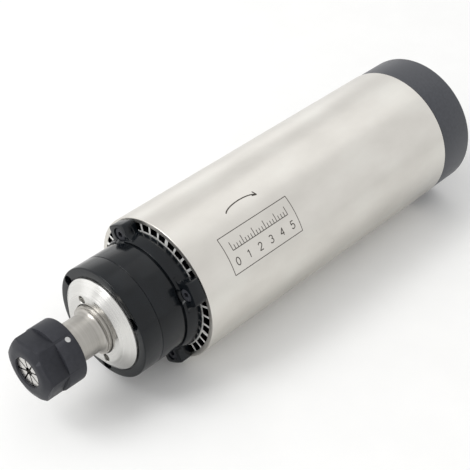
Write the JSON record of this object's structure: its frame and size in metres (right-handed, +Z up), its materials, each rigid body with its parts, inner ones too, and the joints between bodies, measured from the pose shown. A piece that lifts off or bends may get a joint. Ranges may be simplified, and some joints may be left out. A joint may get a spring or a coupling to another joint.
{
  "type": "motor spindle",
  "caption": "Round air-cooled motor spindle with a steel body, black nose flange and a collet chuck that is opened by turning its hexagon nut.",
  "frame": {"origin": "spindle axis at the front edge of the steel sheath, where the front flange seats", "axes": "+Y along the spindle axis towards the rear cover and socket, the nose points to -Y, +Z up"},
  "size_m": [0.08, 0.311, 0.08],
  "materials": {
    "sheath_steel": "brushed lengthwise",
    "extruded_aluminium": "as extruded",
    "black_anodised": "satin black",
    "polished_steel": "fine turned",
    "ground_steel": "ground",
    "blackened_steel": "blackened",
    "collet_steel": "ground",
    "bearing_steel": "polished",
    "cage_plastic": "matt",
    "lamination_steel": "stacked sheet",
    "enamelled_copper": "varnished",
    "cast_aluminium": "cast",
    "fan_plastic": "matt",
    "cover_paint": "satin dark grey",
    "nickel_plate": "plated",
    "insert_plastic": "matt",
    "pin_brass": "plated"
  },
  "bodies": {
    "housing": {"steel_sheath": "sheath_steel", "finned_core": "extruded_aluminium", "front_flange": "black_anodised", "bearing_cover": "black_anodised", "locking_cap": "polished_steel", "outer_races": "bearing_steel", "stator_core": "lamination_steel", "stator_winding": "enamelled_copper", "rear_bell": "cast_aluminium", "rear_cover": "cover_paint", "socket_shell": "nickel_plate", "socket_insert": "insert_plastic", "socket_pins": "pin_brass"},
    "spindle": {"spindle_shaft": "ground_steel", "inner_races": "bearing_steel", "rotor_core": "lamination_steel", "cooling_fan": "fan_plastic"},
    "front_balls": {"front_ball_cage": "cage_plastic"},
    "rear_balls": {"rear_ball_cage": "cage_plastic"},
    "chuck": {"collet": "collet_steel"},
    "chuck_nut": {"collet_nut": "blackened_steel"}
  },
  "joints": [
    {"name": "spindle_spin", "type": "hinge", "parent": "housing", "child": "spindle", "pos_m": [0, 0, 0], "axis": [0, 1, 0], "continuous": true},
    {"name": "front_balls_spin", "type": "hinge", "parent": "housing", "child": "front_balls", "pos_m": [0, -0.0155, 0], "axis": [0, 1, 0], "continuous": true},
    {"name": "rear_balls_spin", "type": "hinge", "parent": "housing", "child": "rear_balls", "pos_m": [0, 0.1805, 0], "axis": [0, 1, 0], "continuous": true},
    {"name": "collet_slide", "type": "slide", "parent": "spindle", "child": "chuck", "axis": [0, -1, 0], "range_m": [0, 0.009]},
    {"name": "nut_turn", "type": "hinge", "parent": "chuck", "child": "chuck_nut", "pos_m": [0, -0.0718, 0], "axis": [0, -1, 0], "range_deg": [0, 2165]}
  ],
  "couplings": [
    {"joint": "front_balls_spin", "follows": "spindle_spin", "ratio": 0.41},
    {"joint": "rear_balls_spin", "follows": "spindle_spin", "ratio": 0.4},
    {"joint": "nut_turn", "follows": "collet_slide", "rad_per_m": 4188.8}
  ]
}
